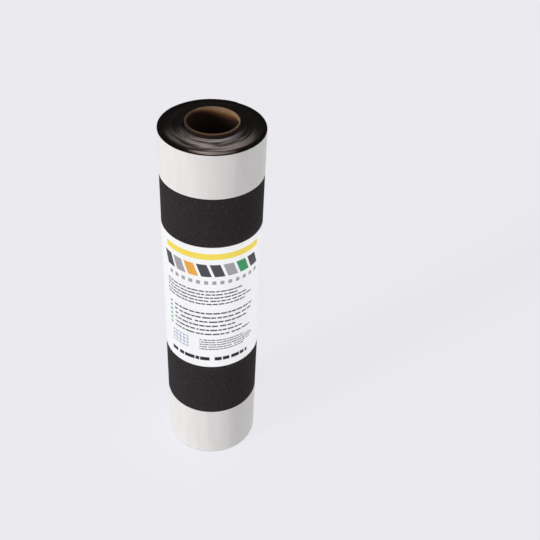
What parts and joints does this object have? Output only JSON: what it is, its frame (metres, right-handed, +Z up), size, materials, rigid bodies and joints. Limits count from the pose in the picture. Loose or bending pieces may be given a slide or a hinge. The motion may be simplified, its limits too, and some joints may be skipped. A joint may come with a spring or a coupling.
{
  "type": "roll of roofing felt",
  "caption": "Upright roll of black roofing felt wound on a cardboard tube, with white release films along both edges and a paper label wrap.",
  "frame": {"origin": "on the tube's axis, on the floor that the roll stands on", "axes": "+Z up along the tube's axis; the free end of the sheet and the label's seam lie on the +Y side, away from the front"},
  "size_m": [0.2253, 0.2261, 0.9279],
  "materials": {
    "felt": "matt black non-woven felt with glossy cut edges",
    "cardboard_core": "plain brown spiral-wound board",
    "release_film": "satin white film",
    "label_paper": null
  },
  "bodies": {
    "root": {"felt_roll": "felt", "core_tube": "cardboard_core", "release_film_bottom": "release_film", "release_film_top": "release_film", "label_wrap": "label_paper"}
  },
  "joints": []
}
